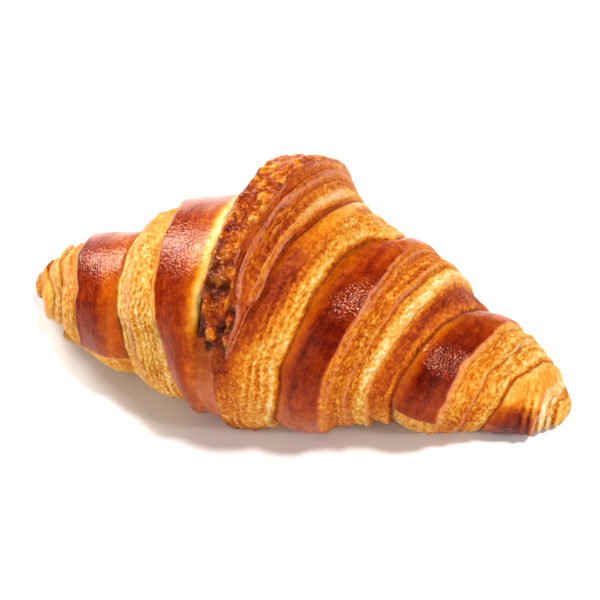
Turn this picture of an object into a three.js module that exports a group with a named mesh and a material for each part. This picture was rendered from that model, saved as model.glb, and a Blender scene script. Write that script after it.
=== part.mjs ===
// A butter croissant: one wedge of laminated dough rolled up from its wide end, proved and baked.
// Millimetres, +Z up, the loaf's length along X, the last lap of the roll ending on the -Y side.
import { Group, MathUtils, Mesh, MeshStandardMaterial, SphereGeometry, Vector3 } from 'three';
import { mergeVertices } from 'three/addons/utils/BufferGeometryUtils.js';

// Driving dimensions
const loafLength = 166;
const widthOverHeight = 1.15; // the roll slumps a little as it proves, so a section is wider than tall
const stations = 104; // sections along the length
const sides = 42; // points around a section
const laps = 5; // turns of dough, counted from the outer end of the sheet inward

// Angles are in turns from the top of the loaf towards -Y. The sheet's outer end lies on the front.
const sheetEnd = 0.184;
const sheetEndRamp = 0.014; // how quickly the blunt end of the sheet rises, in turns

// The rolled sheet, followed inward from its outer end: [turns from the end, millimetres].
const leftEdge = through([
  [0, -14], [0.1, -15.5], [0.25, -13.5], [0.5, -16], [0.87, -18], [0.96, -23], [1.09, -31],
  [1.24, -36], [1.6, -47], [1.92, -55], [2.06, -58], [2.18, -63], [2.5, -64], [3, -63.5],
  [3.13, -70], [3.21, -72], [3.6, -75], [4, -76], [4.2, -79], [5.2, -83],
]);
const rightEdge = through([
  [0, -5], [0.05, -3.5], [0.1, -7], [0.19, -3], [0.35, 5], [0.5, 8], [0.65, 6], [0.87, -8],
  [0.98, -9], [1.05, 0], [1.18, 11], [1.25, 14], [1.5, 17], [1.89, 19], [2.02, 21], [2.12, 26],
  [2.25, 32], [2.5, 40], [2.96, 50], [3.06, 52], [3.15, 57], [3.26, 61], [3.6, 66], [4, 71],
  [4.2, 76], [5.2, 83],
]);
// Each cut edge puffs open into a slope of this width beside the sheet.
const leftSlope = through([
  [0, 2], [0.1, 2], [0.22, 6.5], [0.5, 6], [0.87, 19], [0.96, 17], [1.09, 13.5], [1.24, 11],
  [1.6, 9], [1.92, 9], [2.18, 7], [3, 6], [4, 3], [5.2, 1],
]);
const rightSlope = through([
  [0, 1], [0.05, 2], [0.1, 9.5], [0.25, 9], [0.6, 8], [0.87, 14], [0.98, 18], [1.05, 11],
  [1.18, 4.5], [1.24, 7], [1.27, 13], [1.5, 13], [1.89, 18.5], [2.1, 18.5], [2.25, 21],
  [2.6, 14], [2.9, 8], [3, 12], [3.1, 14.5], [3.26, 13], [3.6, 8], [4, 4], [5.2, 1],
]);
const sheetThickness = through([
  [0, 3.6], [0.05, 5.2], [0.2, 9.4], [0.35, 10], [0.6, 8.8], [1, 7], [2, 6], [3, 4.5], [4, 2.6],
  [5, 0],
]);

// The loaf as a whole, along its length: [x, millimetres].
const coreRadius = through([
  [-83, 6], [-69, 5.5], [-55, 4.5], [-41, 8], [-28, 9], [-14, 9.5], [0, 13.5], [14, 14.5],
  [28, 14], [41, 14], [55, 11], [69, 9.8], [83, 8],
]);
const axisHeight = through([
  [-83, 6.5], [-69, 13], [-55, 17.5], [-41, 21.5], [-28, 22.5], [-14, 28.5], [0, 27], [14, 24],
  [28, 23.8], [41, 20.5], [55, 12.8], [69, 9.5], [83, 3],
]);
const axisSway = through([
  [-83, 7], [-69, 0.5], [-55, -2], [-28, -0.8], [0, -0.6], [28, 2], [55, 4.8], [83, 8.8],
]);
const soleHeight = through([[-83, 3], [-60, 0], [60, 0], [83, 0.9]]); // the tips curl off the tray

// A smooth curve through the points that never overshoots them.
function through(points) {
  const slopes = points.map((point, i) => {
    if (i === 0 || i === points.length - 1) return 0;
    const before = (point[1] - points[i - 1][1]) / (point[0] - points[i - 1][0]);
    const after = (points[i + 1][1] - point[1]) / (points[i + 1][0] - point[0]);
    if (before * after <= 0) return 0;
    return (2 * before * after) / (before + after);
  });
  return (at) => {
    const where = MathUtils.clamp(at, points[0][0], points[points.length - 1][0]);
    const next = Math.max(1, points.findIndex((point) => point[0] >= where));
    const [x0, y0] = points[next - 1];
    const [x1, y1] = points[next];
    const span = x1 - x0;
    const s = (where - x0) / span;
    const blend = s * s * (3 - 2 * s);
    const bend = slopes[next - 1] * s * (1 - s) * (1 - s) - slopes[next] * s * s * (1 - s);
    return y0 + (y1 - y0) * blend + span * bend;
  };
}

// Height across the left slope, from 0 at its foot to 1 at the sheet's lip.
function leftRise(s) {
  const foot = 0.45 * MathUtils.smoothstep(s, 0, 0.4);
  const lip = 0.35 * MathUtils.smoothstep(s, 0.82, 1);
  return foot + lip + 0.2 * MathUtils.clamp(s, 0, 1);
}

// The right slope fans out into three ledges.
function rightRise(s) {
  const lowest = 0.32 * MathUtils.smoothstep(s, 0.02, 0.22);
  const middle = 0.24 * MathUtils.smoothstep(s, 0.5, 0.62);
  const lip = 0.24 * MathUtils.smoothstep(s, 0.86, 1);
  return lowest + middle + lip + 0.2 * MathUtils.clamp(s, 0, 1);
}

// Radius of the roll at x and at an angle in turns: the core and every lap of dough over it.
function rollRadius(x, angle) {
  const outermost = MathUtils.euclideanModulo(sheetEnd - angle, 1);
  let radius = coreRadius(x);
  for (let lap = 0; lap < laps; lap += 1) {
    const turn = outermost + lap;
    const left = leftRise((x - leftEdge(turn)) / leftSlope(turn) + 1);
    const right = rightRise((rightEdge(turn) - x) / rightSlope(turn) + 1);
    const end = MathUtils.smoothstep(turn, 0, sheetEndRamp);
    radius += sheetThickness(turn) * end * left * right;
  }
  const tip = Math.abs(x) / (loafLength / 2);
  return radius * Math.sqrt(Math.max(0, 1 - tip ** 14));
}

function surfacePoint(x, angle) {
  const radius = rollRadius(x, angle);
  const around = angle * 2 * Math.PI;
  const y = axisSway(x) - widthOverHeight * radius * Math.sin(around);
  const z = axisHeight(x) + radius * Math.cos(around);
  return new Vector3(x, y, Math.max(z, soleHeight(x)));
}

// Station i of the loaf, spaced closer towards the tips where the sections shrink fast.
function stationX(along) {
  const crowding = 0.4 * Math.PI;
  return (loafLength / 2) * (Math.sin((2 * along - 1) * crowding) / Math.sin(crowding));
}

// A ball laid along X is drawn out to the length of the loaf and dressed with the laps.
function makeLoaf() {
  const geometry = new SphereGeometry(1, sides, stations);
  const points = geometry.attributes.position;
  const ball = new Vector3();
  for (let i = 0; i < points.count; i += 1) {
    ball.fromBufferAttribute(points, i);
    const along = 1 - Math.acos(MathUtils.clamp(ball.y, -1, 1)) / Math.PI;
    const angle = Math.atan2(ball.x, ball.z) / (2 * Math.PI);
    const placed = surfacePoint(stationX(along), angle);
    points.setXYZ(i, placed.x, placed.y, placed.z);
  }
  geometry.deleteAttribute('normal');
  geometry.deleteAttribute('uv');
  const closed = mergeVertices(geometry, 1e-3);
  closed.computeBoundingBox();
  const centre = closed.boundingBox.getCenter(new Vector3());
  closed.translate(-centre.x, -centre.y, -closed.boundingBox.min.z);
  closed.computeVertexNormals();
  return closed;
}

const crust = new MeshStandardMaterial({ color: 0xc6701c, roughness: 0.45, metalness: 0 });
const croissant = new Mesh(makeLoaf(), crust);
croissant.name = 'croissant';

const loaf = new Group();
loaf.add(croissant);
export default loaf;
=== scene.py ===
# A butter croissant on a pale table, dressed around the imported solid.
import math

import bpy
import numpy as np
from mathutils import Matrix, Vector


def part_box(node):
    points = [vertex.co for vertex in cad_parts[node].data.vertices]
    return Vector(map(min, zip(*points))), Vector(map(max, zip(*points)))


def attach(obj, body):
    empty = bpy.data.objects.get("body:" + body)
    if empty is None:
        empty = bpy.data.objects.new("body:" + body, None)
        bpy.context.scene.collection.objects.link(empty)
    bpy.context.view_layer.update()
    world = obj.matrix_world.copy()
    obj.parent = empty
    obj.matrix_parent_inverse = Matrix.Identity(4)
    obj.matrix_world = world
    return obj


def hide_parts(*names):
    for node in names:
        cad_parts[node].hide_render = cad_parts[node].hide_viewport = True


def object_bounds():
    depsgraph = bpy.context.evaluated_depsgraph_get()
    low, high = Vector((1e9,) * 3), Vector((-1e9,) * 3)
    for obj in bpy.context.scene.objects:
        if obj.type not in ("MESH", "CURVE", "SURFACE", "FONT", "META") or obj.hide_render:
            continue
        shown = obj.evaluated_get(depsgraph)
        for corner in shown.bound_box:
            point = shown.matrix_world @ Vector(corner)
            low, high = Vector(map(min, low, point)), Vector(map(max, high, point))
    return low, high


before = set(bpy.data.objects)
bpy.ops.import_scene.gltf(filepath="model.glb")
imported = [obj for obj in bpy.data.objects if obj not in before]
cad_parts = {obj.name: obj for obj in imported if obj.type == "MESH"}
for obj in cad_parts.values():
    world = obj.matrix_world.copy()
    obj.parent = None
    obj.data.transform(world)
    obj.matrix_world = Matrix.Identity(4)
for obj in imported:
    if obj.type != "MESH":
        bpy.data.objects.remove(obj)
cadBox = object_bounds()

cameraSet = {
    "azimuth": 18.0,       # degrees to the right of square on
    "elevation": 45.0,
    "distance": 0.4725,
    "lens": 100.0,
    "sensor": 36.0,
    "aim": (0.0036, -0.0037, 0.0297),
}


def addCamera(settings):
    turn = math.radians(settings["azimuth"])
    lift = math.radians(settings["elevation"])
    away = (
        math.sin(turn) * math.cos(lift),
        -math.cos(turn) * math.cos(lift),
        math.sin(lift),
    )
    place = [a + b * settings["distance"] for a, b in zip(settings["aim"], away)]
    bpy.ops.object.camera_add(location=place, rotation=(math.pi / 2 - lift, 0, turn))
    camera = bpy.context.object
    camera.data.lens = settings["lens"]
    camera.data.sensor_width = settings["sensor"]
    camera.data.clip_start = 0.01
    bpy.context.scene.camera = camera


addCamera(cameraSet)
print("camera placed")


def smooth(value, low=0.0, high=1.0):
    share = np.clip((value - low) / (high - low), 0, 1)
    return share * share * (3 - 2 * share)


def mix(a, b, share):
    return a + (b - a) * share


def bell(distance, width):
    return np.exp(-((distance / width) ** 2))


def between(value, low, high, soft):
    return smooth(value, low - soft, low + soft) * (1 - smooth(value, high - soft, high + soft))


def curveThrough(points):
    # a smooth curve through the points that never overshoots them
    x, y = np.array(points, float).T
    steps = np.diff(y) / np.diff(x)
    slope = np.zeros(len(x))
    before, after = steps[:-1], steps[1:]
    same = before * after > 0
    slope[1:-1][same] = 2 * before[same] * after[same] / (before[same] + after[same])

    def value(at):
        at = np.clip(at, x[0], x[-1])
        i = np.clip(np.searchsorted(x, at) - 1, 0, len(x) - 2)
        span = x[i + 1] - x[i]
        s = (at - x[i]) / span
        bend = slope[i] * s * (1 - s) ** 2 - slope[i + 1] * s * s * (1 - s)
        return mix(y[i], y[i + 1], s * s * (3 - 2 * s)) + span * bend

    return value


def scatter(cell, seed):
    # one repeatable number from 0 to 1 for each whole-number cell
    mask = np.uint64(0xFFFFFFFF)
    n = cell.astype(np.int64).astype(np.uint64) & mask
    h = (n[..., 0] * np.uint64(374761393) + n[..., 1] * np.uint64(668265263)) & mask
    h = (h + n[..., 2] * np.uint64(2147483647) + np.uint64(seed * 974634777)) & mask
    h = ((h ^ (h >> np.uint64(13))) * np.uint64(1274126177)) & mask
    h = ((h ^ (h >> np.uint64(16))) * np.uint64(2246822519)) & mask
    return ((h ^ (h >> np.uint64(15))) & mask).astype(float) / 4294967295.0


def cloud(place, size, seed):
    # soft lumps from -1 to 1, each about one size across
    p = place / size
    cell = np.floor(p)
    f = p - cell
    f = f * f * (3 - 2 * f)
    total = np.zeros(p.shape[:-1])
    for corner in np.ndindex(2, 2, 2):
        weight = np.prod(np.abs(1 - np.array(corner) - f), axis=-1)
        total += weight * scatter(cell + np.array(corner), seed)
    return 2 * total - 1


def clouds(place, size, seed, octaves=3):
    total = np.zeros(place.shape[:-1])
    strength = 1.0
    for octave in range(octaves):
        total += strength * cloud(place, size / 2**octave, seed + octave)
        strength /= 2
    return total / (2 - 2 * strength)


def bubbles(place, size, seed):
    # distance to the nearest of scattered points, in sizes: 0 on a point
    p = place / size
    cell = np.floor(p)
    nearest = np.full(p.shape[:-1], 9.0)
    for offset in np.ndindex(3, 3, 3):
        corner = cell + np.array(offset) - 1
        point = np.stack([scatter(corner, seed + k) for k in range(3)], -1)
        nearest = np.minimum(nearest, np.linalg.norm(corner + point - p, axis=-1))
    return nearest


# The rolled dough, in millimetres. A turn is counted from the outer end of the sheet inward,
# and an angle in turns from the top of the loaf towards -Y.
dough = {
    "length": 166.0,
    "widthOverHeight": 1.15,
    "laps": 5,
    "sheetEnd": 0.184,
    "sheetEndRamp": 0.012,
    "tornEnd": 0.009,      # how uneven the end of the sheet is, in turns
    "tornMiddle": -9.0,    # where along the loaf it is torn
    "tornReach": 9.0,
    "leftEdge": [
        (0, -13.5), (0.1, -14.5), (0.25, -13), (0.5, -16), (0.87, -18), (0.96, -23), (1.09, -31),
        (1.24, -36), (1.6, -47), (1.92, -55), (2.06, -58), (2.18, -63), (2.5, -64), (3, -63.5),
        (3.13, -70), (3.21, -72), (3.6, -75), (4, -76), (4.2, -79), (5.2, -83),
    ],
    "rightEdge": [
        (0, -5), (0.05, -3.5), (0.1, -7), (0.19, -3), (0.35, 5), (0.5, 8), (0.65, 6), (0.87, -8),
        (0.98, -9), (1.05, 0), (1.18, 11), (1.25, 14), (1.5, 17), (1.89, 19), (2.02, 21),
        (2.12, 26), (2.25, 32), (2.5, 40), (2.96, 50), (3.06, 52), (3.15, 57), (3.26, 61),
        (3.6, 70), (3.95, 74.5), (4.2, 77.5), (5.2, 83),
    ],
    "leftSlope": [
        (0, 1.5), (0.1, 1.5), (0.22, 3.6), (0.5, 5), (0.87, 19), (0.96, 17), (1.09, 13.5), (1.24, 11),
        (1.6, 9), (1.92, 9), (2.18, 7), (3, 6), (4, 3), (5.2, 1),
    ],
    "rightSlope": [
        (0, 1), (0.05, 2), (0.1, 9.5), (0.25, 9), (0.6, 8), (0.87, 14), (0.98, 18), (1.05, 11),
        (1.18, 4.5), (1.24, 7), (1.27, 13), (1.5, 13), (1.89, 18.5), (2.1, 18.5), (2.25, 21),
        (2.6, 15), (2.9, 13), (3, 13.5), (3.1, 14.5), (3.26, 13), (3.6, 8), (4, 4), (5.2, 1),
    ],
    "sheetThickness": [
        (0, 3.6), (0.05, 5.2), (0.2, 9.4), (0.35, 10), (0.6, 8.8), (1, 7), (2, 6), (3, 4.5),
        (4, 2.6), (5, 0),
    ],
    "coreRadius": [
        (-83, 6), (-69, 5.5), (-55, 4.5), (-41, 8), (-28, 9), (-14, 9.5), (0, 13.5), (14, 14.5),
        (28, 14), (41, 14), (55, 11), (69, 9.8), (83, 8),
    ],
    "axisHeight": [
        (-83, 6.5), (-69, 13), (-55, 17.5), (-41, 21.5), (-28, 22.5), (-14, 28.5), (0, 27),
        (14, 24), (28, 23.8), (41, 20.5), (55, 12.8), (69, 9.5), (83, 3),
    ],
    "axisSway": [
        (-83, 7), (-69, 0.5), (-55, -2), (-28, -0.8), (0, -0.6), (28, 2), (55, 4.8), (83, 8.8),
    ],
    "soleHeight": [(-83, 3), (-60, 0), (60, 0), (83, 0.9)],
    "edgeWave": 0.45,      # how far the cut edges wander
    "lipSoft": 0.5,        # millimetres over which a lip or a foot gives way to what is beside it
    "footSoft": (-0.6, 0.4),
}
curves = {name: curveThrough(value) for name, value in dough.items() if isinstance(value, list)}

# Each puffed cut edge opens into ledges: where each lies across the slope, from 0 at the foot to
# 1 at the lip, and its share of the height, both along the roll.
rightLedges = [
    (
        [(0, 0.97), (5, 0.97)],
        [(0, 0.14), (0.6, 0.12), (0.95, 0.02), (1.3, 0.02), (1.6, 0.1), (1.85, 0.16), (5, 0.18)],
    ),
    (
        [(0, 0.66), (0.6, 0.66), (1, 0.75), (1.8, 0.87), (5, 0.87)],
        [(0, 0.14), (0.6, 0.12), (1, 0.02), (1.5, 0.03), (1.85, 0.12), (2.3, 0.12), (5, 0.1)],
    ),
    (
        [(0, 0.35), (1, 0.5), (1.8, 0.62), (2.3, 0.6), (3, 0.5), (5, 0.5)],
        [(0, 0.04), (0.6, 0.06), (1, 0.04), (1.85, 0.1), (2.3, 0.12), (3, 0.18), (5, 0.15)],
    ),
    (
        [(0, 0.08), (0.6, 0.1), (1, 0.2), (1.85, 0.33), (2.3, 0.36), (2.9, 0.3), (5, 0.3)],
        [
            (0, 0.2), (0.6, 0.16), (1, 0.02), (1.6, 0.1), (1.85, 0.28), (2.3, 0.28), (2.9, 0.04),
            (5, 0.05),
        ],
    ),
    (
        [(0, 0.05), (5, 0.05)],
        [(0, 0), (0.6, 0.05), (1, 0.1), (2, 0.12), (3, 0.14), (5, 0.12)],
    ),
]
leftLedges = [
    ([(0, 0.96), (5, 0.96)], [(0, 0.6), (0.3, 0.45), (0.87, 0.3), (2, 0.35), (5, 0.3)]),
    ([(0, 0.7), (5, 0.7)], [(0, 0.05), (0.87, 0.05), (2, 0.08), (5, 0.1)]),
    ([(0, 0.34), (5, 0.34)], [(0, 0.1), (0.87, 0.08), (2, 0.1), (5, 0.1)]),
    ([(0, 0.2), (5, 0.2)], [(0, 0.05), (0.87, 0.12), (2, 0.1), (5, 0.1)]),
    ([(0, 0.06), (5, 0.06)], [(0, 0), (0.87, 0.2), (2, 0.15), (5, 0.15)]),
]
rightLedges = [(curveThrough(a), curveThrough(b)) for a, b in rightLedges]
leftLedges = [(curveThrough(a), curveThrough(b)) for a, b in leftLedges]

ledgeShape = {
    "stepWidth": 0.9,      # millimetres over which the smallest ledge drops
    "stepSpread": 0.6,     # and how much wider that grows with the ledge's height
    "bead": 0.12,          # puffed rim above each drop, and the groove below it
    "rim": (0.9, 0.8),     # how far that rim lies from the drop, and its width
    "groove": (0.8, 0.7),
    "reach": 1.2,          # how far from a ledge its rim is still felt
    "ragged": 0.5,         # how far a torn ledge strays
    "leafPitch": 2.0,      # between the fine leaves of dough in a puffed edge
}


def edgeWave(turn, seed):
    # the cut edges wander a little along the roll
    whole = 2 * math.pi * turn
    slow = np.sin(3.3 * whole + seed)
    middle = 0.6 * np.sin(7.1 * whole + 2.3 * seed)
    quick = 0.35 * np.sin(15.7 * whole + 4.1 * seed)
    return dough["edgeWave"] * (slow + middle + quick)


def lapEdges(turn):
    # lips and feet of one lap, and its thickness
    leftLip = curves["leftEdge"](turn) + edgeWave(turn, 1.0)
    rightLip = curves["rightEdge"](turn) + edgeWave(turn, 2.0)
    leftFoot = leftLip - curves["leftSlope"](turn)
    rightFoot = rightLip + curves["rightSlope"](turn) + 0.5 * edgeWave(turn, 3.0)
    end = smooth(turn, 0, dough["sheetEndRamp"])
    return leftLip, leftFoot, rightLip, rightFoot, curves["sheetThickness"](turn) * end


def stray(turn, seed):
    # how a torn edge strays along the roll, from -1 to 1
    along = np.stack([turn * 150, np.full_like(turn, 7.3 * seed), np.zeros_like(turn)], -1)
    return 0.65 * cloud(along, 9.0, seed) + 0.35 * cloud(along, 3.8, seed + 1)


def puffedEdge(s, width, thickness, turn, ledges, seed):
    # one puffed edge from its foot at 0 to its lip at 1, and the distances to its ledges
    height = np.zeros_like(s)
    bead = np.zeros_like(s)
    near = np.zeros_like(s)
    side = np.zeros_like(s)
    rest = np.ones_like(s)
    rimPlace, rimWidth = ledgeShape["rim"]
    groovePlace, grooveWidth = ledgeShape["groove"]
    for number, (where, share) in enumerate(ledges):
        part = share(turn)
        half = (ledgeShape["stepWidth"] + ledgeShape["stepSpread"] * part * thickness) / 2
        ragged = ledgeShape["ragged"] * stray(turn, seed + 10 * number)
        distance = (s - where(turn)) * width - ragged
        height += part * smooth(distance, -half, half)
        strength = np.clip((part - 0.02) / 0.1, 0, 1)
        rim = bell(distance - rimPlace, rimWidth)
        bead += strength * (rim - bell(distance + groovePlace, grooveWidth))
        if number < len(ledges) - 1:
            felt = strength * bell(distance, ledgeShape["reach"])
            near += felt
            side += felt * distance
        rest -= part
    height += np.clip(rest, 0, 1) * np.clip(s, 0, 1)

    place = np.stack([s * width, turn * 30, np.zeros_like(s)], -1)
    leaf = 2 * math.pi * (s * width / ledgeShape["leafPitch"] + 0.7 * cloud(place, 4.0, seed + 50))
    leafy = smooth(s, 0.02, 0.12) * (1 - smooth(s, 0.88, 0.97))
    leafy *= 0.1 + 0.9 * smooth(cloud(place, 6.0, seed + 60), -0.1, 0.5)
    return {
        "height": height, "bead": bead, "near": near, "side": side,
        "leafCos": leafy * np.cos(leaf), "leafSin": leafy * np.sin(leaf),
    }


# Where single laps differ from the rest. Three numbers are low, high and softness, in turns or in
# shares of a slope. Two are where something begins and where it is full.
lapOddities = {
    "flapTurns": (0.62, 0.42),       # the last lap, which ends in a blistered flap
    "stripTurns": (0.85, 0.55),      # leafy strips down its right slope
    "glossTurns": (4.03, 3.95),      # the tips took no egg wash
    "valleyTurns": (0.85, 1.25, 0.05),     # the deep fold to the right of the last lap
    "leftUnderTurns": (1.66, 1.915, 0.008),    # crumb bared below the lower edge of a band
    "rightUnderTurns": (2.66, 2.918, 0.008),
    "gullyTurns": (1.95, 2.6, 0.1),        # painted shade in the groove near the foot of the widest puffed edge
    "gullyShares": (0.05, 0.31, 0.04),
    "ridgeTurns": (1.85, 2.5, 0.15),       # painted highlight on the pale ridge above that groove
    "ridgeShare": 0.43,
    "ridgeWidth": 0.09,
    "hollowTurns": (0.92, 1.16, 0.06),     # smooth hollow beside the last lap, where its shadow is painted
    "hollowRise": (0.38, 0.95),
    "besideFlap": (1.6, 4.4),        # millimetres over which the pale strip beside it fades
}


def oddLap(turn, sRight, fromLeft, besideLeft):
    # the odd places of one lap, each from 0 to 1
    fromRight = 1 - fromLeft
    odd = lapOddities
    ridge = bell(sRight - odd["ridgeShare"], odd["ridgeWidth"])
    return {
        "flap": smooth(turn, *odd["flapTurns"]),
        "strips": smooth(turn, *odd["stripTurns"]),
        "washed": smooth(turn, *odd["glossTurns"]),
        "besideFlap": (1 - smooth(besideLeft, *odd["besideFlap"])) * fromLeft,
        "valley": between(turn, *odd["valleyTurns"]) * fromRight,
        "under": np.where(
            fromLeft, between(turn, *odd["leftUnderTurns"]), between(turn, *odd["rightUnderTurns"])
        ),
        "gully": between(sRight, *odd["gullyShares"]) * between(turn, *odd["gullyTurns"]) * fromRight,
        "ridge": ridge * between(turn, *odd["ridgeTurns"]) * fromRight,
        "hollow": between(turn, *odd["hollowTurns"]) * smooth(sRight, *odd["hollowRise"]) * fromRight,
    }


def rollLaps(x, angle):
    # the radius of the roll, and for each lap where every point lies on it
    waves = np.sin(1.1 * x) + 0.6 * np.sin(2.3 * x + 1)
    torn = dough["tornEnd"] * waves * bell(x - dough["tornMiddle"], dough["tornReach"])
    first = np.mod(dough["sheetEnd"] + torn - angle, 1.0)
    radius = curves["coreRadius"](x)
    laps = []
    for number in range(dough["laps"]):
        turn = first + number
        leftLip, leftFoot, rightLip, rightFoot, thickness = lapEdges(turn)
        above = lapEdges(np.maximum(turn - 1, 0))
        leftWide = leftLip - leftFoot
        rightWide = rightFoot - rightLip
        sLeft = (x - leftFoot) / leftWide
        sRight = (rightFoot - x) / rightWide
        left = puffedEdge(sLeft, leftWide, thickness, turn, leftLedges, 100)
        right = puffedEdge(sRight, rightWide, thickness, turn, rightLedges, 200)
        radius += thickness * left["height"] * right["height"]
        end = smooth(turn, 0, dough["sheetEndRamp"])
        onLeft = smooth(leftLip - x, -dough["lipSoft"], dough["lipSoft"])
        onRight = smooth(x - rightLip, -dough["lipSoft"], dough["lipSoft"])
        within = smooth(x - leftFoot, *dough["footSoft"]) * smooth(rightFoot - x, *dough["footSoft"])
        fromLeft = np.where(turn < 1, x < rightLip, x < (above[1] + above[3]) / 2)
        shareL = (x - leftLip) / np.maximum(above[1] - leftLip, 1)
        shareR = (rightLip - x) / np.maximum(rightLip - above[3], 1)
        share = np.clip(np.where(fromLeft, shareL, shareR), 0, 1)
        covered = np.where(fromLeft, above[1] - x, x - above[3])
        fromFoot = np.where(fromLeft, sLeft * leftWide, sRight * rightWide)
        puffed = np.clip(thickness / 5, 0, 1.2)
        # painted shade on a lap just beside the foot of the lap that covers it
        crease = bell(np.maximum(covered, 0), 0.9) * smooth(turn, 0.98, 1.0)
        # painted shade along the foot of a puffed edge, and a paler line just above it
        footShadeLine, paleLine = bell(fromFoot - 0.1, 0.7), bell(fromFoot - 1.5, 0.6)
        lap = {
            "turn": turn,
            "cover": within * end,
            "left": onLeft, "right": onRight, "top": (1 - onLeft) * (1 - onRight),
            "fromLeft": fromLeft * 1.0,
            "share": mix(0.15, share, smooth(turn, 0.5, 0.9)),
            "slope": np.clip(np.where(x < leftLip, sLeft, sRight), 0, 1),
            "bead": ledgeShape["bead"] * puffed * (left["bead"] + right["bead"]),
            "crease": crease * (1 - 0.6 * fromLeft),
            "foot": footShadeLine - 0.45 * paleLine,
            "across": np.where(fromLeft, x - leftLip, rightLip - x),
        }
        lap.update(oddLap(turn, sRight, fromLeft, above[1] - x))
        for name in ("near", "side", "leafCos", "leafSin"):
            lap[name] = np.where(fromLeft, left[name], right[name])
        laps.append(lap)
    return radius, laps


def layered(laps, field, bare=0.0):
    # the outermost lap over a point decides
    value = np.full_like(laps[0]["turn"], bare)
    for lap in reversed(laps):
        value = mix(value, field(lap), lap["cover"])
    return value


loafMesh = {
    "rings": 330,
    "segments": 300,
    "crowding": 1.6,       # how much closer the rings gather at a lip
    "crowdWidth": 1.0,
    "crowdBlend": 5,       # lines along the loaf over which that gathering is evened out
    "tipCrowding": 3.0,
    "samples": 1661,       # places along the loaf at which the gathering is worked out
}


def ringPlaces(angles, rings):
    # where the rings cross each line along the loaf, gathered at the lips and feet
    x = np.linspace(-dough["length"] / 2, dough["length"] / 2, loafMesh["samples"])
    density = np.tile(1 + loafMesh["tipCrowding"] * bell(x[-1] - np.abs(x), 3.0), (len(angles), 1))
    first = np.mod(dough["sheetEnd"] - angles, 1.0)[:, None]
    for lap in range(dough["laps"]):
        turn = first + lap
        edges = lapEdges(turn)
        strength = loafMesh["crowding"] * np.clip(edges[4] / 3, 0, 1)
        for mark in edges[:4]:
            density += strength * bell(x - mark, loafMesh["crowdWidth"])
        for where, share in rightLedges[1:4]:
            mark = edges[3] - where(turn) * (edges[3] - edges[2])
            density += strength * np.clip(share(turn) / 0.15, 0, 1) * bell(x - mark, 0.8)
    reach = loafMesh["crowdBlend"]
    weights = bell(np.arange(-2 * reach, 2 * reach + 1), reach)
    blended = sum(w * np.roll(density, k - 2 * reach, 0) for k, w in enumerate(weights))
    blended /= weights.sum()
    filled = np.cumsum((blended[:, 1:] + blended[:, :-1]) / 2, 1)
    filled = np.concatenate([np.zeros((len(angles), 1)), filled], 1)
    share = np.linspace(0, 1, rings + 1)
    return np.array([np.interp(share * line[-1], line, x) for line in filled])


def makeLoaf(settings):
    bpy.ops.object.select_all(action="DESELECT")
    bpy.ops.mesh.primitive_uv_sphere_add(
        segments=settings["segments"], ring_count=settings["rings"], radius=1, location=(0, 0, 0)
    )
    loaf = bpy.context.object
    loaf.name = "croissant_loaf"
    return loaf


def ballPlaces(loaf):
    # each point's ring and its angle in turns, and the length along the loaf that gives
    places = np.empty(len(loaf.data.vertices) * 3)
    loaf.data.vertices.foreach_get("co", places)
    places = places.reshape(-1, 3)
    along = 1 - np.arccos(np.clip(places[:, 2], -1, 1)) / math.pi
    angle = np.arctan2(-places[:, 0], places[:, 1]) / (2 * math.pi)
    ring = np.rint(along * loafMesh["rings"]).astype(int)
    spoke = np.rint(angle * loafMesh["segments"]).astype(int) % loafMesh["segments"]
    lines = ringPlaces(np.arange(loafMesh["segments"]) / loafMesh["segments"], loafMesh["rings"])
    return lines[spoke, ring], angle


# Relief of the crust: heights and sizes in millimetres.
relief = {
    "lumps": 0.8,          # slow unevenness of the whole loaf
    "lumpSize": 15.0,
    "crown": 1.7,          # how far each glossy band bulges
    "rightCrown": 0.45,    # the share of that on the right
    "underStep": 1.1,      # how far the crumb lies back below a band's lower edge
    "leaves": 0.22,        # fine leaves of dough in the puffed edges
    "pores": 0.16,
    "poreSize": 1.6,
    "crumble": 0.38,
    "crumbleSize": 3.2,
    "fibres": 0.12,
    "fibreSize": 1.4,
    "blisters": 1.4,       # on the last lap
    "blisterSize": 3.4,
    "blebSize": 1.8,       # the small ones between the blisters
    "knuckleSize": 6.5,    # and the pale humps they gather on
    "blistersBehind": 0.25,      # the share of them that is left at the back
    "blistersFrom": (-0.2, 0.02),    # and the angles over which they come up
    "wrinkles": 0.03,
    "wrinkleSize": 1.2,
    "tipRidges": 1.5,
    "nubLumps": 0.9,
    "nubSize": 5.0,
    "patchSize": 5.0,      # of darker and paler patches in the colour
    "wobbleSize": 7.0,
    "soleRound": 0.5,      # how tightly the wall turns into the flat sole
}


# The two tips: the right one is ridged on its lower front and the left one ends in a knob.
tips = {
    "bluntness": 14,
    "combAlong": (71, 82, 1.5),     # low, high and softness, in millimetres
    "combAround": (0.08, 0.34, 0.05),
    "combPitch": 2.1,
    "combLean": 1.2,       # how many ridges they lean over in one turn
    "nub": (68, 77),
}


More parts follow.
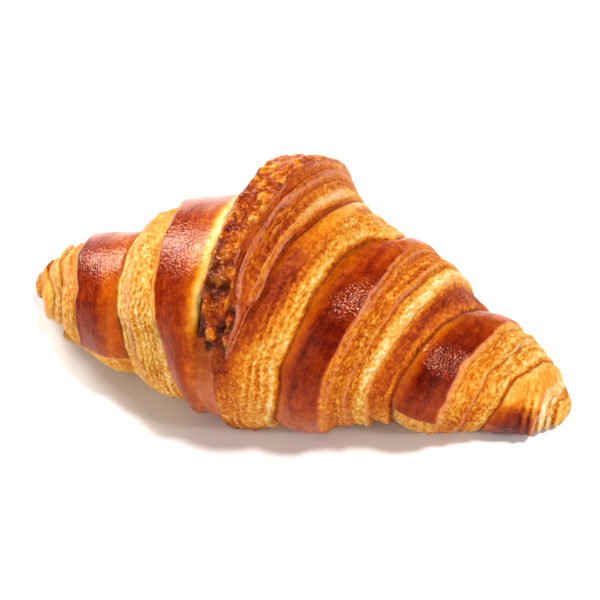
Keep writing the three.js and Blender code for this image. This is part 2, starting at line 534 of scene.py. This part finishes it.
def skinFields(laps, skin, x, angle):
    # what each point of the skin is, as shares from 0 to 1 and as soft patterns
    names = (
        "top", "near", "side", "bead", "crease", "across", "hollow", "gully", "leafCos", "leafSin",
    )
    field = {name: layered(laps, lambda lap: lap[name]) for name in names}
    grain = np.stack([field["across"], skin[:, 2], -skin[:, 1]], -1)
    field["flap"] = layered(laps, lambda lap: (1 - lap["right"]) * lap["flap"])
    field["strips"] = layered(laps, lambda lap: lap["right"] * lap["strips"])
    field["valley"] = layered(laps, lambda lap: lap["top"] * lap["valley"])
    field["glossy"] = layered(laps, lambda lap: lap["top"] * lap["washed"])
    field["glossy"] *= 1 - 0.8 * field["valley"]
    field["under"] = layered(laps, lambda lap: lap["under"] * lap["top"])
    field["glossy"] = np.maximum(field["glossy"] * (1 - field["under"]), 0.9 * field["flap"])
    field["rim"] = np.clip(field["near"], 0, 1)
    field["crumb"] = (1 - field["top"] + field["under"]) * (1 - 0.25 * field["rim"])
    field["crumb"] *= (1 - 0.6 * field["hollow"]) * (1 - 0.7 * field["gully"])
    field["crumb"] *= (1 - 0.9 * field["flap"]) * (1 - 0.35 * field["strips"])
    field["crumb"] *= 0.7 + 0.3 * clouds(skin, 9.0, 91, 2)
    field["fibres"] = clouds(grain * [1, 0.16, 0.16], relief["fibreSize"], 41, 2)
    field["wobble"] = clouds(grain * [1, 0.3, 0.3], relief["wobbleSize"], 71, 2)
    field["patches"] = clouds(skin, relief["patchSize"], 81, 2)
    pit = 1 - smooth(bubbles(skin * [1, 0.75, 0.75], relief["poreSize"], 21), 0.1, 0.65)
    field["pores"] = pit * field["crumb"]
    blister = 1 - smooth(bubbles(skin * [1, 0.8, 0.8], relief["blisterSize"], 61), 0.1, 0.8)
    blister += 0.5 * (1 - smooth(bubbles(skin, relief["blebSize"], 64), 0.1, 0.7))
    knuckle = 1 - smooth(bubbles(skin * [1, 0.8, 0.8], relief["knuckleSize"], 67), 0.1, 0.75)
    front = mix(relief["blistersBehind"], 1, smooth(angle, *relief["blistersFrom"]))
    field["flap"] *= front
    field["blister"] = mix(0.45, 0.75 * blister + 0.8 * knuckle, front)

    field["raisedBlister"] = blister - 0.5
    field["leafy"] = field["leafCos"] - 0.5 * field["leafSin"]
    field["crumble"] = clouds(skin, relief["crumbleSize"], 31, 3)
    # how far the leaves and crumble stand out, to paint light on them and shade between them
    field["raised"] = 0.6 * field["leafy"] + 0.5 * field["crumble"]
    comb = between(x, *tips["combAlong"]) * between(angle, *tips["combAround"])
    tooth = np.abs(np.sin(math.pi * (x / tips["combPitch"] + tips["combLean"] * angle)))
    field["ridges"] = comb * tooth
    field["comb"] = comb * (tooth - 0.5)
    field["nub"] = smooth(-x, *tips["nub"])
    return field, grain


def skinHeight(laps, field, skin, grain):
    # how far the skin stands above or below the smooth roll
    def crown(lap):
        bulge = mix(relief["rightCrown"], 1, lap["fromLeft"])
        return np.sin(math.pi * lap["share"]) * lap["top"] * bulge

    lumps = relief["lumps"] * clouds(skin, relief["lumpSize"], 11, 3)
    wrinkles = clouds(grain * [1, 0.2, 0.2], relief["wrinkleSize"], 51, 2)
    height = lumps * (1 - 0.45 * field["glossy"]) + field["bead"]
    height += relief["crown"] * layered(laps, crown) * (1 - field["flap"])
    height -= relief["underStep"] * field["under"]
    height += relief["leaves"] * field["leafy"]
    height -= relief["pores"] * field["pores"]
    height += relief["crumble"] * field["crumb"] * field["crumble"]
    height += relief["fibres"] * (1 - field["top"]) * field["fibres"]
    height += relief["wrinkles"] * field["glossy"] * wrinkles
    height += relief["blisters"] * field["flap"] * field["raisedBlister"]
    height += relief["tipRidges"] * field["ridges"]
    return height + relief["nubLumps"] * field["nub"] * clouds(skin, relief["nubSize"], 95, 2)


def shapeLoaf(x, angle):
    # where each point of the loaf lies, in millimetres, and what it is
    radius, laps = rollLaps(x, angle)
    alongShare = np.abs(2 * x / dough["length"])
    tipRound = np.sqrt(np.clip(1 - alongShare ** tips["bluntness"], 0, 1))
    around = 2 * math.pi * angle
    radius *= tipRound
    skin = np.stack([x, -radius * np.sin(around), radius * np.cos(around)], -1)
    field, grain = skinFields(laps, skin, x, angle)
    radius += skinHeight(laps, field, skin, grain) * tipRound
    y = curves["axisSway"](x) - dough["widthOverHeight"] * radius * np.sin(around)
    z = curves["axisHeight"](x) + radius * np.cos(around)
    floor = curves["soleHeight"](x)
    soft = relief["soleRound"]
    over = z - floor
    z = np.maximum(floor + soft * np.logaddexp(0, over / soft) - 0.05 * soft, 0)
    field["sole"] = smooth(over, 1.5, -1.0)
    return np.stack([x, y, z], -1), laps, field, grain


# How dark the oven left each part, along the roll, with painted shade and highlight among it: 0 is
# cream and 1 is nearly black.
ovenAndPaintedLight = {
    "leftTop": [
        (0, 0.66), (0.08, 0.52), (0.3, 0.46), (0.6, 0.55), (0.9, 0.76), (1.2, 0.76), (1.9, 0.8),
        (2.3, 0.74), (2.6, 0.4), (3, 0.2), (5, 0.2),
    ],
    "rightTop": [
        (0, 0.66), (0.08, 0.52), (0.3, 0.46), (0.6, 0.5), (0.75, 0.45), (1, 0.78), (1.1, 0.76),
        (1.2, 0.54), (1.3, 0.46), (1.6, 0.6), (1.85, 0.84), (3.3, 0.84), (3.6, 0.6), (3.86, 0.84),
        (3.96, 0.76), (4.04, 0.3), (5, 0.25),
    ],
    "rightSlope": [
        (0, 0.64), (0.12, 0.58), (0.3, 0.42), (0.6, 0.34), (0.9, 0.32), (1.3, 0.29), (1.9, 0.4),
        (2.5, 0.39), (3, 0.32), (3.5, 0.12), (5, 0.1),
    ],
    "leftSlope": [
        (0, 0.58), (0.1, 0.48), (0.3, 0.5), (0.55, 0.4), (0.8, 0.22), (2, 0.24), (3, 0.16),
        (5, 0.16),
    ],
    "leftFade": 0.74,      # share of the tone left where a band runs under the next lap
    "rightFade": 0.54,
    "leftFadeFrom": 0.3,   # how far across a band that begins
    "rightFadeFrom": 0.55,
    "fadeWidth": 0.6,
    "heatAngle": 0.14,     # the side the egg wash and the top heat caught most, in turns
    "leftHeat": 0.26,      # how far round from there they reach
    "rightHeat": 0.14,
    "awayFade": 0.66,      # share of the tone left beyond
    "heatTurn": 2.3,       # it shows on the middle laps only: how far from this turn it stops
    "heatTurns": (1.2, 1.5),
    "hollow": 0.68,        # painted shadow of the last lap on the smooth hollow beside it
    "under": 0.27,         # the crumb that shows below a band's lower edge
    "pale": 0.09,          # the strip beside the last lap that its shade kept pale
    "paleShare": 0.92,
    "paleTurns": (1.02, 1.4, 0.03),
    "grooves": 0.3,        # painted shade: how much darker the gully is; painted highlight: how much paler the ridge
    "rightFoot": 0.28,     # painted shade: how much darker a puffed edge is along its foot, and paler just above
    "leftFoot": 0.08,
    "sole": 0.52,
    "charTurns": (0.17, 0.03),       # how far from the torn end of the sheet it is charred
    "charSlopeTurns": (0.12, 0.02),
}
ovenCurves = {name: curveThrough(value) for name, value in ovenAndPaintedLight.items() if isinstance(value, list)}


def bakeFields(laps, field, angle):
    # how dark, how glossy and how charred each point came out of the oven, the darkness with painted
    # light and shade added
    def tone(lap):
        turn = lap["turn"]
        lapTone = mix(ovenCurves["rightTop"](turn), ovenCurves["leftTop"](turn), lap["fromLeft"])
        fade = mix(ovenAndPaintedLight["rightFade"], ovenAndPaintedLight["leftFade"], lap["fromLeft"])
        reach = mix(ovenAndPaintedLight["rightHeat"], ovenAndPaintedLight["leftHeat"], lap["fromLeft"])
        heat = bell(angle - ovenAndPaintedLight["heatAngle"] + 0.03 * field["wobble"], reach)
        heat = mix(heat, 1.0, smooth(np.abs(turn - ovenAndPaintedLight["heatTurn"]), *ovenAndPaintedLight["heatTurns"]))
        share = np.clip(lap["share"] + 0.2 * field["wobble"], 0, 1)
        fadeFrom = mix(ovenAndPaintedLight["rightFadeFrom"], ovenAndPaintedLight["leftFadeFrom"], lap["fromLeft"])
        top = lapTone * mix(1.0, fade, smooth(share - fadeFrom, 0, ovenAndPaintedLight["fadeWidth"]))
        top = mix(np.minimum(top, lapTone * ovenAndPaintedLight["awayFade"]), top, heat)
        top = mix(top, ovenAndPaintedLight["under"], lap["under"])
        paleTurns = between(turn, *ovenAndPaintedLight["paleTurns"])
        top = mix(top, ovenAndPaintedLight["pale"], ovenAndPaintedLight["paleShare"] * lap["besideFlap"] * paleTurns)
        slope = mix(ovenCurves["rightSlope"](turn), ovenCurves["leftSlope"](turn), lap["fromLeft"])
        slope = slope * mix(0.9, 1.15, lap["slope"])
        # painted shadow of the last lap in the hollow beside it
        slope = mix(slope, ovenAndPaintedLight["hollow"], lap["hollow"])
        # painted shade in the gully and painted highlight on the ridge
        slope += ovenAndPaintedLight["grooves"] * (lap["gully"] - lap["ridge"])
        # painted shade along the foot of the puffed edge
        slope += mix(ovenAndPaintedLight["rightFoot"], ovenAndPaintedLight["leftFoot"], lap["fromLeft"]) * lap["foot"]
        return mix(slope, top, lap["top"])

    def flapEnd(lap):
        return smooth(lap["turn"], *ovenAndPaintedLight["charTurns"]) * (1 - lap["right"])

    def flapSlope(lap):
        return smooth(lap["turn"], *ovenAndPaintedLight["charSlopeTurns"]) * lap["left"]

    # then the small things: pores, fibres, patches, the tips, the blisters and the raised crumb, the
    # last two partly with painted light and shade
    bake = layered(laps, tone, 0.2)
    bake += 0.05 * field["pores"] + 0.07 * field["fibres"] * (1 - field["top"])
    bake += 0.05 * field["wobble"] - 0.3 * field["comb"]
    bake += field["nub"] * (0.12 + 0.2 * field["patches"])
    # partly painted light and shade: raised blisters lighter, the creases between them darker
    bake += field["flap"] * (0.02 + 0.1 * field["patches"] - 0.28 * (field["blister"] - 0.4))
    # painted light and shade: raised crumb lighter, the dips between darker
    bake += field["crumb"] * (0.04 - 0.12 * field["raised"])
    bake = mix(bake, ovenAndPaintedLight["sole"] + 0.08 * field["patches"], field["sole"])
    gloss = field["glossy"] * (1 - 0.7 * field["sole"])
    patchy = smooth(field["patches"] - 0.4 * (field["blister"] - 0.5), -0.3, 0.15)
    char = np.clip(layered(laps, flapEnd) * patchy + 0.7 * layered(laps, flapSlope), 0, 1)
    # the painted shade in the creases, passed on to the shader
    crease = np.maximum(field["crease"], 0)
    return {"bake": bake, "gloss": gloss, "char": char, "crumb": field["crumb"], "crease": crease}


def writeFields(loaf, fields):
    for name, value in fields.items():
        attribute = loaf.data.attributes.new(name, "FLOAT", "POINT")
        attribute.data.foreach_set("value", value.astype(np.float32))


def writeVectors(loaf, name, parts):
    attribute = loaf.data.attributes.new(name, "FLOAT_VECTOR", "POINT")
    attribute.data.foreach_set("vector", np.stack(parts, -1).astype(np.float32).reshape(-1))


def bakedLoaf():
    loaf = makeLoaf(loafMesh)
    x, angle = ballPlaces(loaf)
    places, laps, field, grain = shapeLoaf(x, angle)

    low, high = np.array(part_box("croissant")[0]), np.array(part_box("croissant")[1])
    scale = (high[0] - low[0]) / dough["length"]
    places *= scale
    middle = (places.min(0) + places.max(0)) / 2
    places[:, 0] += (low[0] + high[0]) / 2
    places[:, 1] += (low[1] + high[1]) / 2 - middle[1]
    places[:, 2] += low[2]
    loaf.data.vertices.foreach_set("co", places.reshape(-1))
    loaf.data.update()

    writeFields(loaf, bakeFields(laps, field, angle))
    writeVectors(loaf, "grain", list(grain.T))
    writeVectors(loaf, "ledge", [field["near"], field["side"], field["flap"]])
    writeVectors(loaf, "leaf", [field["leafCos"], field["leafSin"], field["strips"]])

    bpy.ops.object.mode_set(mode="EDIT")
    bpy.ops.mesh.select_all(action="SELECT")
    bpy.ops.mesh.normals_make_consistent(inside=False)
    bpy.ops.object.mode_set(mode="OBJECT")
    bpy.ops.object.shade_smooth()
    return loaf


loaf = bakedLoaf()
print("croissant rolled:", len(loaf.data.polygons), "faces")

crust = {
    "colours": [
        (0.00, (0.86, 0.69, 0.47)),
        (0.12, (0.77, 0.49, 0.16)),
        (0.25, (0.69, 0.35, 0.055)),
        (0.40, (0.61, 0.19, 0.005)),
        (0.55, (0.43, 0.085, 0.002)),
        (0.70, (0.275, 0.032, 0.002)),
        (0.85, (0.13, 0.006, 0.0006)),
        (1.00, (0.035, 0.003, 0.001)),
    ],
    "rim": (0.62, 0.28, 0.17),     # the thin torn rims of the ledges: partly their own colour, partly a painted highlight
    "rimShare": 0.6,
    # painted shade: the dark line under each ledge and in the creases
    "underRim": (0.42, 0.075, 0.006),
    "underRimShare": 0.5,
    "charred": (0.035, 0.009, 0.005),
    "charredShare": 0.85,
    "glossRoughness": 0.18,
    "mattRoughness": 0.58,
    "roughnessSpread": 0.3,
    "specular": 0.3,
    "specularTint": (1.0, 0.7, 0.5),
    "darker": {            # how much each pattern darkens the crust where it is strong
        "mottle": 0.3, "coarse": 0.18, "band": 0.22, "streak": 0.16, "pitted": -0.95, "web": -0.07,
        "flapSpots": -0.6, "fold": -0.26, "grit": 1.0, "leafWave": -0.05, "leafLine": -0.1,
    },
    "higher": {            # and how much it raises the bump, in bump distances
        "fibres": 1.0, "pitted": 2.2, "web": 0.3, "pebbles": -0.2, "knobs": 1.0, "grains": 1.0,
        "leafWave": 0.35, "rimLine": 0.22, "underLine": -0.5, "flapSpots": 1.5, "fold": 1.6,
    },
    "grit": (0.5, 0.15),   # strengths on the matt crumb and on the glossy bands
    "fibres": (0.2, 0.3),
    "knobs": (0.25, 0.05),
    "grains": (0.8, 0.08),
    "pitLevel": 0.36,      # the noise level where pits in the crumb give way to grains, both partly painted shade and light
    "pitCells": -0.3,
    "webWidth": 0.06,
    "smallFolds": 0.5,     # against the big folds of the blisters
    "bumpStrength": 0.8,
    "bumpDistance": 0.0006,
}


def newNode(tree, kind, x, y, **values):
    node = tree.nodes.new(kind)
    node.location = (x, y)
    for name, value in values.items():
        setattr(node, name, value)
    return node


def readField(tree, name, y):
    return newNode(tree, "ShaderNodeAttribute", -1400, y, attribute_name=name).outputs


def readVector(tree, name, y):
    parts = newNode(tree, "ShaderNodeSeparateXYZ", -1200, y)
    tree.links.new(readField(tree, name, y)["Vector"], parts.inputs[0])
    return parts.outputs


def calculate(tree, operation, a, b, x, y, third=None):
    node = newNode(tree, "ShaderNodeMath", x, y, operation=operation)
    for socket, value in zip(node.inputs, (a, b, third)):
        if value is None:
            continue
        if isinstance(value, (int, float)):
            socket.default_value = value
        else:
            tree.links.new(value, socket)
    return node.outputs[0]


def stretched(tree, vector, stretch, x, y):
    mapping = newNode(tree, "ShaderNodeMapping", x, y)
    mapping.inputs["Scale"].default_value = stretch
    tree.links.new(vector, mapping.inputs["Vector"])
    return mapping.outputs[0]


def noise(tree, vector, scale, detail, x, y, stretch=(1, 1, 1)):
    node = newNode(tree, "ShaderNodeTexNoise", x, y)
    node.inputs["Scale"].default_value = scale
    node.inputs["Detail"].default_value = detail
    tree.links.new(stretched(tree, vector, stretch, x - 200, y), node.inputs["Vector"])
    return node.outputs["Fac"]


def cells(tree, vector, scale, x, y, stretch=(1, 1, 1)):
    node = newNode(tree, "ShaderNodeTexVoronoi", x, y)
    node.inputs["Scale"].default_value = scale
    tree.links.new(stretched(tree, vector, stretch, x - 200, y), node.inputs["Vector"])
    return node.outputs["Distance"]


def folds(tree, vector, scale, wander, x, y):
    # blisters with crisp creases between them
    wandering = newNode(tree, "ShaderNodeTexNoise", x - 400, y)
    wandering.inputs["Scale"].default_value = scale * 0.8
    tree.links.new(vector, wandering.inputs["Vector"])
    moved = newNode(tree, "ShaderNodeVectorMath", x - 200, y, operation="MULTIPLY_ADD")
    moved.inputs[1].default_value = (wander, wander, wander)
    tree.links.new(wandering.outputs["Color"], moved.inputs[0])
    tree.links.new(vector, moved.inputs[2])
    node = newNode(tree, "ShaderNodeTexVoronoi", x, y, feature="DISTANCE_TO_EDGE")
    node.inputs["Scale"].default_value = scale
    tree.links.new(moved.outputs[0], node.inputs["Vector"])
    return stepped(tree, node.outputs["Distance"], 0.0, 0.32, x + 200, y)


def stepped(tree, value, low, high, x, y):
    # 0 below low and 1 above high, or the other way round when low is the larger
    node = newNode(tree, "ShaderNodeMapRange", x, y, interpolation_type="SMOOTHSTEP")
    down = low > high
    node.inputs["From Min"].default_value = min(low, high)
    node.inputs["From Max"].default_value = max(low, high)
    node.inputs["To Min"].default_value = 1.0 if down else 0.0
    node.inputs["To Max"].default_value = 0.0 if down else 1.0
    tree.links.new(value, node.inputs["Value"])
    return node.outputs[0]


def tinted(tree, base, colour, share, most, x, y):
    # the base mixed with a colour, by no more than most, where share is 1
    node = newNode(tree, "ShaderNodeMix", x, y, data_type="RGBA")
    node.inputs[7].default_value = (*colour, 1)
    tree.links.new(base, node.inputs[6])
    tree.links.new(calculate(tree, "MULTIPLY", share, most, x - 150, y - 250), node.inputs[0])
    return node.outputs[2]


def centred(tree, pattern, x, y):
    return calculate(tree, "SUBTRACT", pattern, 0.5, x, y)


def distanceFrom(tree, value, place, x, y):
    offset = calculate(tree, "SUBTRACT", value, place, x, y)
    return calculate(tree, "ABSOLUTE", offset, None, x + 150, y)


def mattAndGlossy(tree, pattern, gloss, strengths, x, y):
    # the pattern at one strength where the crust is matt and at another where it is glossy
    matt, glossy = strengths
    strength = calculate(tree, "MULTIPLY_ADD", gloss, glossy - matt, x - 150, y, matt)
    return calculate(tree, "MULTIPLY", pattern, strength, x, y)


def addUp(tree, base, patterns, strengths, x, y):
    # the base plus each pattern times its strength
    for name, strength in strengths.items():
        base = calculate(tree, "MULTIPLY_ADD", patterns[name], strength, x, y, base)
        x += 80
    return base


def crustNoises(tree, place, grain):
    # what the lines, tone and bump share, with place in metres and grain in millimetres
    return {
        "mottle": noise(tree, place, 420, 3, -900, 900),
        "coarse": noise(tree, place, 110, 2, -900, 700),
        "streak": noise(tree, grain, 1.9, 3, -900, 500, (1.0, 0.16, 0.16)),
        "band": noise(tree, grain, 0.45, 2, -900, 300, (1.0, 0.12, 0.12)),
        "speckle": noise(tree, place, 1000, 3, -900, 100),
        "crumb": noise(tree, grain, 1.6, 5, -900, -100, (1.0, 0.6, 0.6)),
        "web": noise(tree, grain, 1.0, 3, -900, -300, (1.0, 0.3, 0.3)),
        "crumbCell": cells(tree, grain, 1.05, -900, -1200, (1.0, 0.75, 0.75)),
        "skinCell": cells(tree, place, 1150, -900, -1400),
        "bigFold": folds(tree, place, 210, 0.006, -900, -1600),
        "smallFold": folds(tree, place, 480, 0.003, -900, -1800),
    }


# The thin lines along each torn ledge: a rim that is partly a painted highlight, and a dark line
# under it that is painted shade. Places and widths are in millimetres from it, and two numbers
# are where a line begins and where it is full.
ledgeMarks = {
    "wobble": 0.7,
    "felt": (0.25, 0.6),         # how near the ledge has to be, from 0 to 1
    # the pale rim along each ledge, partly a painted highlight
    "rimPlace": 0.25,
    "rimWidth": (0.38, 0.08),
    "rimBreaks": (0.3, 0.55),    # the noise levels that break the rims up
    "rimTears": (0.3, 0.52),
    # the dark line under each ledge, which is painted shade
    "underPlace": -0.45,
    "underWidth": (0.32, 0.05),
    # how much of the painted crease shade goes into the dark line under the ledges
    "creaseShare": 0.5,
    "leafWander": 3.0,           # how far the fine leaves stray, in radians
    "leafTops": (0.55, 0.95),
}


def ledgeLines(tree, ledge, crease, noises):
    # the thin rims of the torn ledges, partly their own colour and partly a painted highlight, and the
    # dark line under each, which is painted shade and takes in the painted crease shade
    marks = ledgeMarks
    most = marks["wobble"]
    wobble = calculate(tree, "MULTIPLY_ADD", noises["mottle"], most, -600, -600, -most / 2)
    nearness = calculate(tree, "MAXIMUM", ledge[0], 0.05, -750, -700)
    distance = calculate(tree, "DIVIDE", ledge[1], nearness, -600, -700)
    distance = calculate(tree, "ADD", distance, wobble, -450, -650)
    felt = stepped(tree, ledge[0], *marks["felt"], -450, -450)
    rim = distanceFrom(tree, distance, marks["rimPlace"], -300, -600)
    rim = calculate(tree, "MULTIPLY", stepped(tree, rim, *marks["rimWidth"], 0, -600), felt, 150, -600)
    broken = stepped(tree, noises["band"], *marks["rimBreaks"], 150, -450)
    rim = calculate(tree, "MULTIPLY", rim, broken, 300, -600)
    under = distanceFrom(tree, distance, marks["underPlace"], -300, -750)
    under = stepped(tree, under, *marks["underWidth"], 0, -750)
    under = calculate(tree, "MULTIPLY", under, felt, 150, -750)
    shade = calculate(tree, "MULTIPLY", crease, marks["creaseShare"], 150, -900)
    return rim, calculate(tree, "MAXIMUM", under, shade, 300, -750)


def leafLines(tree, leaf, speckle):
    # the fine leaves of dough in a puffed edge, as a wave and as lines along its tops
    most = ledgeMarks["leafWander"]
    turn = calculate(tree, "MULTIPLY_ADD", speckle, most, -600, -1000, -most / 2)
    cosine = calculate(tree, "COSINE", turn, None, -450, -1000)
    sine = calculate(tree, "SINE", turn, None, -450, -1150)
    level = calculate(tree, "MULTIPLY", leaf[0], cosine, -300, -1000)
    shifted = calculate(tree, "MULTIPLY", leaf[1], sine, -300, -1150)
    wave = calculate(tree, "SUBTRACT", level, shifted, -150, -1000)
    return wave, stepped(tree, wave, *ledgeMarks["leafTops"], 0, -1000)


def crustPatterns(tree, settings, gloss):
    # every pattern that darkens or raises the crust, by name
    crumb = readField(tree, "crumb", 0)["Fac"]
    crease = readField(tree, "crease", -200)["Fac"]
    grain = readField(tree, "grain", -400)["Vector"]
    ledge = readVector(tree, "ledge", -600)
    leaf = readVector(tree, "leaf", -800)
    place = newNode(tree, "ShaderNodeTexCoord", -1400, -1000).outputs["Object"]
    noises = crustNoises(tree, place, grain)
    speckle = noises["speckle"]

    rimLine, underLine = ledgeLines(tree, ledge, crease, noises)
    leafWave, leafLine = leafLines(tree, leaf, speckle)
    # lines along the leaf tops on the strips join the rims and their painted highlight
    stripLine = calculate(tree, "MULTIPLY", leafLine, leaf[2], 150, -1000)
    rimLine = calculate(tree, "MAXIMUM", rimLine, stripLine, 450, -600)
    torn = stepped(tree, speckle, *ledgeMarks["rimTears"], 450, -450)
    rimLine = calculate(tree, "MULTIPLY", rimLine, torn, 600, -600)

    # pits in the crumb, darker partly as painted shade, and grains lighter partly as painted highlight
    cell, pitCells = noises["crumbCell"], settings["pitCells"]
    knobbly = calculate(tree, "MULTIPLY_ADD", cell, pitCells, -700, 0, noises["crumb"])
    pits = calculate(tree, "SUBTRACT", knobbly, settings["pitLevel"], -550, 0)
    webSide = distanceFrom(tree, noises["web"], 0.5, -700, -250)
    webLine = stepped(tree, webSide, settings["webWidth"], 0.0, -400, -250)
    flap = ledge[2]
    small, smallFolds = noises["smallFold"], settings["smallFolds"]
    allFolds = calculate(tree, "MULTIPLY_ADD", small, smallFolds, -650, -1500, noises["bigFold"])
    allFolds = calculate(tree, "SUBTRACT", allFolds, 1.0, -500, -1500)
    flapMottle = centred(tree, noises["mottle"], -600, 1100)
    fineGrit = centred(tree, speckle, -600, 1250)
    return {
        "mottle": centred(tree, noises["mottle"], -700, 900),
        "coarse": centred(tree, noises["coarse"], -700, 700),
        "band": centred(tree, noises["band"], -700, 300),
        "streak": centred(tree, noises["streak"], -700, 500),
        "pitted": calculate(tree, "MULTIPLY", crumb, pits, -400, 0),
        "web": calculate(tree, "MULTIPLY", crumb, webLine, -250, -250),
        "flapSpots": calculate(tree, "MULTIPLY", flap, flapMottle, -450, 1100),
        # creases between the blisters, darkened partly as painted shade
        "fold": calculate(tree, "MULTIPLY", flap, allFolds, -350, -1500),
        "grit": mattAndGlossy(tree, fineGrit, gloss, settings["grit"], -400, 1250),
        "fibres": mattAndGlossy(tree, noises["streak"], gloss, settings["fibres"], -400, 500),
        "pebbles": calculate(tree, "MULTIPLY", gloss, noises["skinCell"], -600, -1400),
        "knobs": mattAndGlossy(tree, noises["mottle"], gloss, settings["knobs"], -400, 700),
        "grains": mattAndGlossy(tree, speckle, gloss, settings["grains"], -400, 150),
        "coarseNoise": noises["coarse"],
        "leafWave": leafWave, "leafLine": leafLine,
        "rimLine": rimLine, "underLine": underLine,
    }


def crustColour(tree, settings, patterns, bake):
    tone = addUp(tree, bake, patterns, settings["darker"], -200, 900)
    ramp = newNode(tree, "ShaderNodeValToRGB", 750, 900)
    stops = ramp.color_ramp.elements
    while len(stops) < len(settings["colours"]):
        stops.new(0.5)
    for stop, (position, colour) in zip(stops, settings["colours"]):
        stop.position = position
        stop.color = (*colour, 1)
    tree.links.new(tone, ramp.inputs[0])
    colour = ramp.outputs[0]
    under, rim, char = patterns["underLine"], patterns["rimLine"], readField(tree, "char", 200)["Fac"]
    # painted shade under the ledges and in the creases
    colour = tinted(tree, colour, settings["underRim"], under, settings["underRimShare"], 1050, 800)
    # the rims: partly their own colour, partly a painted highlight
    colour = tinted(tree, colour, settings["rim"], rim, settings["rimShare"], 1250, 800)
    return tinted(tree, colour, settings["charred"], char, settings["charredShare"], 1450, 800)


def crustRoughness(tree, settings, patterns, gloss):
    rough = newNode(tree, "ShaderNodeMix", 900, 200)
    rough.inputs[2].default_value = settings["mattRoughness"]
    rough.inputs[3].default_value = settings["glossRoughness"]
    tree.links.new(gloss, rough.inputs[0])
    spread = settings["roughnessSpread"]
    varied = calculate(
        tree, "MULTIPLY_ADD", patterns["coarseNoise"], spread, 1100, 200, rough.outputs[0]
    )
    return calculate(tree, "ADD", varied, -spread / 2, 1250, 200)


def crustMaterial(settings):
    material = bpy.data.materials.new("baked_crust")
    material.use_nodes = True
    tree = material.node_tree
    shader = tree.nodes["Principled BSDF"]
    shader.location = (1700, 0)
    tree.nodes["Material Output"].location = (2000, 0)
    shader.inputs["Specular IOR Level"].default_value = settings["specular"]
    shader.inputs["Specular Tint"].default_value = (*settings["specularTint"], 1)
    bake = readField(tree, "bake", 600)["Fac"]
    gloss = readField(tree, "gloss", 400)["Fac"]
    patterns = crustPatterns(tree, settings, gloss)
    colour = crustColour(tree, settings, patterns, bake)
    tree.links.new(colour, shader.inputs["Base Color"])
    roughness = crustRoughness(tree, settings, patterns, gloss)
    tree.links.new(roughness, shader.inputs["Roughness"])
    bump = newNode(tree, "ShaderNodeBump", 1450, -200)
    bump.inputs["Strength"].default_value = settings["bumpStrength"]
    bump.inputs["Distance"].default_value = settings["bumpDistance"]
    height = addUp(tree, 0.0, patterns, settings["higher"], 400, -200)
    tree.links.new(height, bump.inputs["Height"])
    tree.links.new(bump.outputs[0], shader.inputs["Normal"])
    return material


loaf.data.materials.append(crustMaterial(crust))
print("crust coloured")

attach(loaf, "root")
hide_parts("croissant")

studio = {
    "floor": 3.0,
    "floorColour": (0.86, 0.86, 0.86),
    "sky": 0.185,
    "backdrop": 1.6,
    "key": {"place": (-0.72, 0.42, 0.56), "spread": 28.0, "power": 3.0},
    "front": {"place": (0.32, -0.03, 0.94), "spread": 10.0, "power": 2.2},
    "side": {"place": (0.92, -0.08, 0.38), "spread": 9.0, "power": 1.0},
    "fill": {"place": (-0.3, -0.8, 0.5), "spread": 60.0, "power": 0.95},
}


def addFloor(settings):
    bpy.ops.object.select_all(action="DESELECT")
    bpy.ops.mesh.primitive_plane_add(size=settings["floor"], location=(0, 0, cadBox[0][2]))
    floor = bpy.context.object
    floor.name = "table_top"
    material = bpy.data.materials.new("pale_table")
    material.use_nodes = True
    shader = material.node_tree.nodes["Principled BSDF"]
    shader.inputs["Base Color"].default_value = (*settings["floorColour"], 1)
    shader.inputs["Roughness"].default_value = 0.9
    floor.data.materials.append(material)


def addLight(name, settings):
    place = np.array(settings["place"])
    down = math.acos(place[2] / np.linalg.norm(place))
    turn = math.atan2(place[1], place[0]) + math.pi / 2
    bpy.ops.object.light_add(type="SUN", location=place, rotation=(down, 0, turn))
    light = bpy.context.object
    light.name = name
    light.data.angle = math.radians(settings["spread"])
    light.data.energy = settings["power"]


def addWorld(settings):
    # soft white all round, brighter where the camera sees it than where it lights
    world = bpy.data.worlds.new("studio")
    world.use_nodes = True
    tree = world.node_tree
    background = tree.nodes["Background"]
    background.inputs["Color"].default_value = (1, 1, 1, 1)
    seen = tree.nodes.new("ShaderNodeLightPath")
    strength = tree.nodes.new("ShaderNodeMapRange")
    strength.inputs["To Min"].default_value = settings["sky"]
    strength.inputs["To Max"].default_value = settings["backdrop"]
    tree.links.new(seen.outputs["Is Camera Ray"], strength.inputs["Value"])
    tree.links.new(strength.outputs[0], background.inputs["Strength"])
    bpy.context.scene.world = world


addFloor(studio)
addLight("window_light", studio["key"])
addLight("front_light", studio["front"])
addLight("side_light", studio["side"])
addLight("fill_light", studio["fill"])
addWorld(studio)
bpy.context.scene.view_settings.view_transform = "Standard"
bpy.context.scene.view_settings.look = "Medium High Contrast"
print("studio lit")
